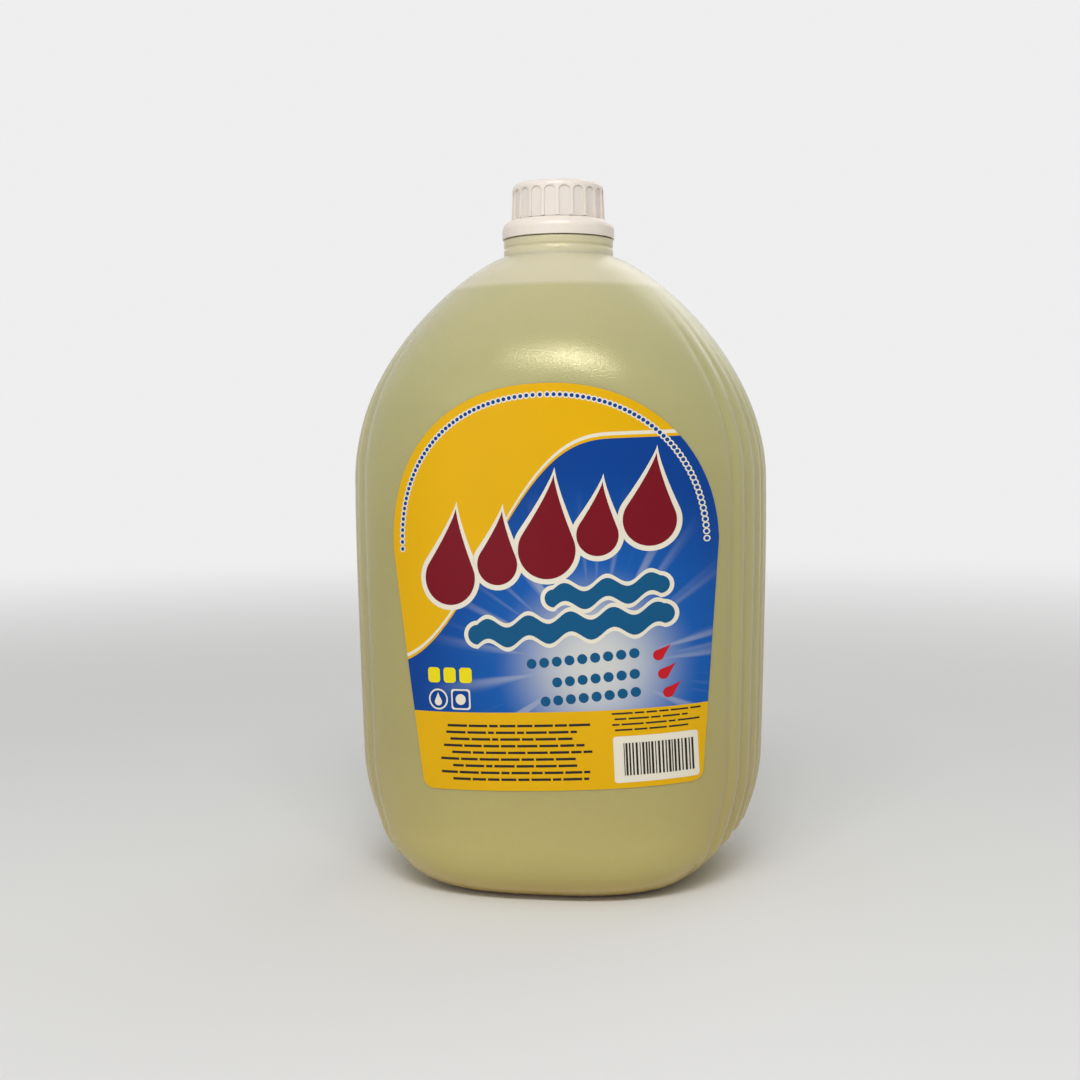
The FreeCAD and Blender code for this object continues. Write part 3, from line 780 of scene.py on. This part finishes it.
@dataclass
class PrintedLabel:
    """The film label with its printed shapes, laid on the front of the bottle."""

    shape: BottleShape = field(default_factory=BottleShape)
    middle: float = 7.3
    foot: float = 48.0
    turn_height: float = 129.0
    tilt: float = 1.9
    width: float = 134.0
    foot_width: float = 114.0
    height: float = 163.3
    waist: float = 98.0
    arch: float = 2.2
    corner: float = 4.5
    film: float = 0.30
    layer: float = 0.05
    net: float = 2.0
    ring_inset: float = 4.6

    def arch_point(self, turn: float, inset: float = 0.0) -> Point:
        """Return a point of the arch at an angle from the right, drawn in by an inset."""
        power = 2 / self.arch
        cosine, sine = math.cos(math.radians(turn)), math.sin(math.radians(turn))
        across = math.copysign(abs(cosine) ** power, cosine) * (self.width / 2 - inset)
        return across, self.waist + (self.height - self.waist - inset) * abs(sine) ** power

    def outline(self) -> Outline:
        """Return the label's outline."""
        points = [self.arch_point(turn) for turn in range(0, 181, 3)]
        low = self.foot_width / 2
        for side, start in ((-1, 180), (1, 270)):
            for turn in range(0, 91, 15):
                angle = math.radians(start + turn)
                points.append((side * (low - self.corner) + self.corner * math.cos(angle),
                               self.corner + self.corner * math.sin(angle)))
        return points

    def lay(self, across: float, up: float, lift: float) -> tuple[Vector, Vector]:
        """Return the point of the bottle's front under a place on the label, lifted off it, and its normal."""
        angle = math.radians(self.tilt)
        rise = up + self.foot - self.turn_height
        x = self.middle + across * math.cos(angle) - rise * math.sin(angle)
        z = self.turn_height + across * math.sin(angle) + rise * math.cos(angle)
        point, normal = self.shape.front(x, z)
        return point + normal * lift, normal

    def sheet(self, name: str, outlines: list[Outline], lift: float, edge: bool = False) -> bpy.types.Mesh:
        """Return a thin sheet of some outlines that follows the bottle's front.

        Args:
            name: Name of the mesh.
            outlines: The closed outlines.
            lift: Distance from the bottle.
            edge: Whether the sheet gets a cut edge down to the bottle.

        Returns:
            The mesh.
        """
        net = bmesh.new()
        for outline in outlines:
            net.faces.new([net.verts.new((x, y, 0.0)) for x, y in outline])
        net.normal_update()
        for face in net.faces:
            if face.normal.z < 0:
                face.normal_flip()
        bmesh.ops.triangulate(net, faces=net.faces[:], ngon_method="EAR_CLIP")
        xs = [vertex.co.x for vertex in net.verts]
        ys = [vertex.co.y for vertex in net.verts]
        for low, high, axis in ((min(xs), max(xs), 0), (min(ys), max(ys), 1)):
            for number in range(math.ceil(low / self.net), math.floor(high / self.net) + 1):
                spot = [0.0, 0.0, 0.0]
                spot[axis] = number * self.net
                way = [0.0, 0.0, 0.0]
                way[axis] = 1.0
                bmesh.ops.bisect_plane(net, geom=net.verts[:] + net.edges[:] + net.faces[:], dist=0.001, plane_co=spot,
                                       plane_no=way)
        rim = [entry for entry in net.edges if entry.is_boundary]
        normals: list[Vector] = []
        chart = net.loops.layers.uv.new("print")
        for face in net.faces:
            for loop in face.loops:
                loop[chart].uv = (loop.vert.co.x / 100, loop.vert.co.y / 100)
        places = {vertex: (vertex.co.x, vertex.co.y) for vertex in net.verts}
        lowered = set()
        if edge:
            made = bmesh.ops.extrude_edge_only(net, edges=rim)
            for entry in made["geom"]:
                if isinstance(entry, bmesh.types.BMVert):
                    places[entry] = (entry.co.x, entry.co.y)
                    lowered.add(entry)
        for vertex in net.verts:
            across, up = places[vertex]
            point, normal = self.lay(across, up, 0.02 if vertex in lowered else lift)
            vertex.co = point * MM
            normals.append(normal)
        for face in net.faces:
            face.smooth = True
        mesh = bpy.data.meshes.new(name)
        net.to_mesh(mesh)
        net.free()
        mesh.normals_split_custom_set_from_vertices(normals)
        return mesh

    def drops(self, grow: float) -> list[Outline]:
        """Return the row of five drops, the outline made larger by grow."""
        rows = []
        for number, size in enumerate((1.05, 0.8, 1.12, 0.8, 1.0)):
            x = -41.0 + number * 20.5
            rows.append(Shapes.drop(x, 86.0 + number * 5.2, 10.4 * size, 27.0 * size, 8.0, grow))
        return rows

    def waves(self, grow: float) -> list[Outline]:
        """Return the two wavy bands, the outlines made larger by grow."""
        return [Shapes.wave(2.0, 44.0, 77.0, 7.2, 3.4, grow), Shapes.wave(-30.0, 45.0, 63.0, 8.0, 5.0, grow)]

    def beads(self, radius: float) -> list[Outline]:
        """Return the row of small beads along the arch."""
        return [Shapes.disc(*self.arch_point(turn / 2, self.ring_inset), radius) for turn in range(0, 361, 4)]

    def seals(self, inset: float) -> list[Outline]:
        """Return the plain disc and square beside the rows of dots, drawn in by an inset."""
        return [Shapes.disc(-48.4, 36.6, 4.3 - inset),
                Shapes.box(-42.6 + inset, 32.5 + inset, -34.2 - inset, 40.9 - inset, 1.2)]

    @staticmethod
    def dashes(left: float, right: float, low: float, thick: float, seed: int) -> list[Outline]:
        """Return a broken line of uneven dashes.

        Args:
            left: Where it starts.
            right: Where it ends.
            low: Its lower edge.
            thick: Its thickness.
            seed: Number that sets the lengths of the dashes.

        Returns:
            The dashes.
        """
        made, start = [], left
        while start < right - 2.0:
            end = min(right, start + 2.5 + 6.0 * abs(math.sin(start * 1.3 + seed)))
            made.append(Shapes.box(start, low, end, low + thick))
            start = end + 0.8
        return made

    def lines(self) -> list[Outline]:
        """Return the plain broken lines of the foot band, of uneven length."""
        made = []
        for number in range(9):
            right = 17.0 - 9.0 * abs(math.sin(number * 2.3))
            left = -49.0 + 6.0 * abs(math.sin(number * 1.7 + 0.8))
            made += self.dashes(left, right, 25.6 - number * 2.7, 1.0, number)
        for number in range(4):
            made += self.dashes(23.0 + number % 2, 57.0 - 5.0 * (number % 2), 29.6 - number * 2.2, 0.7, number + 9)
        return made

    def bars(self) -> list[Outline]:
        """Return the upright bars of the pale patch."""
        made, left = [], 27.0
        for number in range(22):
            wide = 0.35 + 0.5 * abs(math.sin(number * 1.9))
            made.append(Shapes.box(left, 5.0, left + wide, 18.0))
            left += wide + 0.35 + 0.35 * abs(math.sin(number * 2.7))
        return made

    def dots(self) -> list[Outline]:
        """Return three rows of dots on the glow."""
        made = []
        for row, (start, count) in enumerate(((-8.0, 9), (2.0, 7), (-3.0, 8))):
            for number in range(count):
                made.append(Shapes.disc(start + number * 5.1, 51.0 - row * 7.6 + number * 0.35, 2.0))
        return made

    def marks(self) -> list[Outline]:
        """Return the small leaning bars beside the rows of dots."""
        return [Shapes.drop(42.0 + row * 1.6, 52.4 - row * 7.6, 2.1, 6.6, 50.0) for row in range(3)]

    def build(self) -> list[bpy.types.Object]:
        """Return the label and its printed shapes; the label stands for its solid."""
        film = LabelPrint("label_print", Ink.YELLOW.colour(), roughness=0.3, shade=0.97, patches=20.0, mirror=0.14)
        label = add_object("label_film", self.sheet("label_film", [self.outline()], self.film, True), film.build(),
                           "bottle")
        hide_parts("front_label")
        pieces = [label]
        layers = (
            ("print_outline", Ink.CREAM, self.drops(2.1) + self.waves(1.7), 1),
            ("print_drops", Ink.RED, self.drops(0.0), 2),
            ("print_waves", Ink.DEEP_BLUE, self.waves(0.0), 2),
            ("print_halo", Ink.CREAM, self.beads(1.35), 1),
            ("print_beads", Ink.BLUE, self.beads(0.8), 2),
            ("print_seals", Ink.CREAM, self.seals(0.0), 1),
            ("print_seal_cores", Ink.BLUE, self.seals(0.7), 2),
            ("print_seal_drops", Ink.CREAM, [Shapes.drop(-48.4, 35.6, 1.6, 4.0, 0.0), Shapes.disc(-38.4, 36.7, 2.2)],
             3),
            ("print_lines", Ink.BLACK, self.lines(), 1),
            ("print_patch", Ink.CREAM, [Shapes.box(23.0, 2.2, 55.4, 20.8, 1.2)], 1),
            ("print_bars", Ink.BLACK, self.bars(), 2),
            ("print_dots", Ink.DEEP_BLUE, self.dots(), 1),
            ("print_marks", Ink.BRIGHT_RED, self.marks(), 2),
            ("print_lozenges", Ink.LEMON, [Shapes.box(-52.6 + 7.0 * number, 43.4, -47.2 + 7.0 * number, 49.6, 1.4)
                                           for number in range(3)], 1),
        )
        for name, ink, outlines, layer in layers:
            finish = Finish(name, ink.colour(), roughness=0.3, shade=0.97, patches=20.0, mirror=0.14)
            pieces.append(add_object(name, self.sheet(name, outlines, self.film + layer * self.layer),
                                     finish.build(), "bottle"))
        return pieces


@dataclass
class Closure:
    """The screw cap, its tamper band and its liner."""

    plastic: Finish = Finish("closure_plastic", srgb(232, 221, 210), roughness=0.3, shade=0.98, bump=0.08,
                             softness=0.4, depth=0.003, mirror=0.5)
    foam: Finish = Finish("liner_foam", srgb(228, 226, 218), roughness=0.8)

    def build(self) -> list[bpy.types.Object]:
        """Return the dressed solids of the closure."""
        white = self.plastic.build()
        return [dress("screw_cap", white), dress("tamper_band", white), dress("seal_liner", self.foam.build())]


@dataclass
class Contents:
    """The liquid in the bottle, just inside its wall up to the level."""

    shape: BottleShape = field(default_factory=BottleShape)
    liquid: Finish = Finish("pale_liquid", srgb(188, 184, 128), roughness=0.08)
    wall: float = 2.4
    low: float = 1.5
    level: float = 254.5
    rows: int = 60
    sides: int = 96
    dome: tuple[Point, ...] = ((4.0, 5.4), (20.0, 4.5), (36.0, 2.1), (38.5, 1.6))

    def ring(self, z: float) -> list[Vector]:
        """Return the outline of the liquid at a height."""
        wide, deep = self.shape.half_width(z) - self.wall, self.shape.half_depth(z) - self.wall
        power = 2 / self.shape.power(z)
        points = []
        for number in range(self.sides):
            turn = 2 * math.pi * number / self.sides
            across = math.copysign(abs(math.cos(turn)) ** power, math.cos(turn)) * wide
            back = math.copysign(abs(math.sin(turn)) ** power, math.sin(turn)) * deep
            points.append(Vector((across, back, z)) * MM)
        return points

    def build(self) -> bpy.types.Object:
        """Return the dressed liquid, which stands for its solid."""
        rings = []
        for radius, z in self.dome:
            turns = [2 * math.pi * number / self.sides for number in range(self.sides)]
            rings.append([Vector((radius * math.cos(turn), radius * math.sin(turn), z)) * MM for turn in turns])
        rings += [self.ring(self.low + (self.level - self.low) * row / self.rows) for row in range(self.rows + 1)]
        points = [point for ring in rings for point in ring]
        faces = [tuple(reversed(range(self.sides)))]
        for row in range(len(rings) - 1):
            for side in range(self.sides):
                beside = (side + 1) % self.sides
                faces.append((row * self.sides + side, row * self.sides + beside, (row + 1) * self.sides + beside,
                              (row + 1) * self.sides + side))
        faces.append(tuple(range((len(rings) - 1) * self.sides, len(rings) * self.sides)))
        mesh = bpy.data.meshes.new("pale_liquid")
        mesh.from_pydata(points, [], faces)
        mesh.update()
        obj = add_object("pale_liquid", mesh, self.liquid.build(), "bottle")
        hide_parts("bleach_liquid")
        return obj


@dataclass
class Studio:
    """Floor, lamps, world and camera; lengths in metres."""

    distance: float = 0.700
    azimuth: float = 10.0
    height: float = 0.18839
    roll: float = 0.53
    focal_pixels: float = 1568.1
    frame_pixels: float = 1080.0
    centre_u: float = 560.25
    centre_v: float = 440.0
    pale: float = 0.86
    ambient: float = 0.43

    def floor(self) -> None:
        """Lay a pale floor that turns into the pale background far from the bottle."""
        half = 12.0
        mesh = bpy.data.meshes.new("floor")
        mesh.from_pydata([(-half, -half, 0.0), (half, -half, 0.0), (half, half, 0.0), (-half, half, 0.0)], [],
                         [(0, 1, 2, 3)])
        obj = bpy.data.objects.new("floor", mesh)
        bpy.context.collection.objects.link(obj)
        material = bpy.data.materials.new("floor")
        material.use_nodes = True
        graph = Graph(material.node_tree)
        shader = material.node_tree.nodes["Principled BSDF"]
        shader.inputs["Base Color"].default_value = (0.80, 0.80, 0.79, 1.0)
        shader.inputs["Roughness"].default_value = 0.9
        reach = graph.node("ShaderNodeVectorMath", operation="LENGTH")
        graph.feed(reach.inputs[0], graph.node("ShaderNodeTexCoord").outputs["Object"])
        path = graph.node("ShaderNodeLightPath")
        seen = graph.math("MAXIMUM", path.outputs["Is Camera Ray"], path.outputs["Is Glossy Ray"])
        share = graph.math("MULTIPLY", graph.span(reach.outputs["Value"], 0.35, 1.9), seen)
        glow = graph.node("ShaderNodeEmission")
        glow.inputs["Color"].default_value = (self.pale, self.pale, self.pale, 1.0)
        blend = graph.node("ShaderNodeMixShader")
        graph.feed(blend.inputs[0], share)
        graph.feed(blend.inputs[1], shader.outputs[0])
        graph.feed(blend.inputs[2], glow.outputs[0])
        graph.feed(material.node_tree.nodes["Material Output"].inputs["Surface"], blend.outputs[0])
        mesh.materials.append(material)

    def lamp(self, name: str, place: tuple[float, float, float], wide: float, high: float, power: float) -> None:
        """Add one area lamp that faces the bottle.

        Args:
            name: Name of the lamp.
            place: Where it stands.
            wide: Its width.
            high: Its height.
            power: Its power in watts.
        """
        data = bpy.data.lights.new(name, "AREA")
        data.shape = "RECTANGLE"
        data.size = wide
        data.size_y = high
        data.energy = power
        obj = bpy.data.objects.new(name, data)
        obj.location = place
        aim = Vector((0.0, 0.0, 0.16)) - Vector(place)
        obj.rotation_euler = aim.to_track_quat("-Z", "Y").to_euler()
        bpy.context.collection.objects.link(obj)

    def light(self) -> None:
        """Set the soft lamps and the world."""
        self.lamp("key", (0.13, -1.08, 1.15), 1.10, 0.14, 9.0)
        self.lamp("core", (0.18, -1.07, 1.16), 0.36, 0.08, 3.2)
        self.lamp("fill", (-0.9, -1.7, 0.5), 1.4, 1.0, 3.5)
        self.lamp("back", (0.6, 1.5, 1.3), 1.2, 1.2, 4.0)
        world = bpy.data.worlds.new("studio")
        bpy.context.scene.world = world
        world.use_nodes = True
        graph = Graph(world.node_tree)
        sky = world.node_tree.nodes["Background"]
        sky.inputs["Color"].default_value = (1.0, 1.0, 1.0, 1.0)
        path = graph.node("ShaderNodeLightPath")
        seen = graph.math("MAXIMUM", path.outputs["Is Camera Ray"],
                          graph.math("MAXIMUM", path.outputs["Is Glossy Ray"], path.outputs["Is Transmission Ray"]))
        graph.feed(sky.inputs["Strength"], graph.span(seen, 0.0, 1.0, self.ambient, self.pale, "LINEAR"))

    def camera(self) -> None:
        """Place the camera at the photograph's angle."""
        turn = math.radians(self.azimuth)
        tilt = math.radians(self.roll)
        level = Vector((math.cos(turn), math.sin(turn), 0.0))
        up = Vector((0.0, 0.0, 1.0))
        right = level * math.cos(tilt) - up * math.sin(tilt)
        top = up * math.cos(tilt) + level * math.sin(tilt)
        back = right.cross(top)
        data = bpy.data.cameras.new("camera")
        data.sensor_fit = "HORIZONTAL"
        data.sensor_width = 36.0
        data.lens = 36.0 * self.focal_pixels / self.frame_pixels
        data.shift_x = (self.frame_pixels / 2 - self.centre_u) / self.frame_pixels
        data.shift_y = (self.centre_v - self.frame_pixels / 2) / self.frame_pixels
        data.clip_start = 0.01
        data.clip_end = 50.0
        obj = bpy.data.objects.new("camera", data)
        place = Vector((self.distance * math.sin(turn), -self.distance * math.cos(turn), self.height))
        obj.matrix_world = Matrix.Translation(place) @ Matrix((right, top, back)).transposed().to_4x4()
        bpy.context.collection.objects.link(obj)
        bpy.context.scene.camera = obj

    def build(self) -> None:
        """Set up floor, light and camera."""
        self.floor()
        self.light()
        self.camera()


def report(pieces: list[bpy.types.Object]) -> None:
    """Log the name and the number of faces of each piece."""
    for piece in pieces:
        LOG.info("%s: %d faces", piece.name, len(piece.data.polygons))


def main() -> None:
    """Build every piece in order and set the studio."""
    logging.basicConfig(level=logging.INFO)
    bpy.context.scene.view_settings.view_transform = "Standard"
    report([MouldedBottle().build(), NeckThread().build(), Contents().build()])
    report(PrintedLabel().build())
    report(Closure().build())
    Studio().build()


if __name__ == "__main__":
    main()
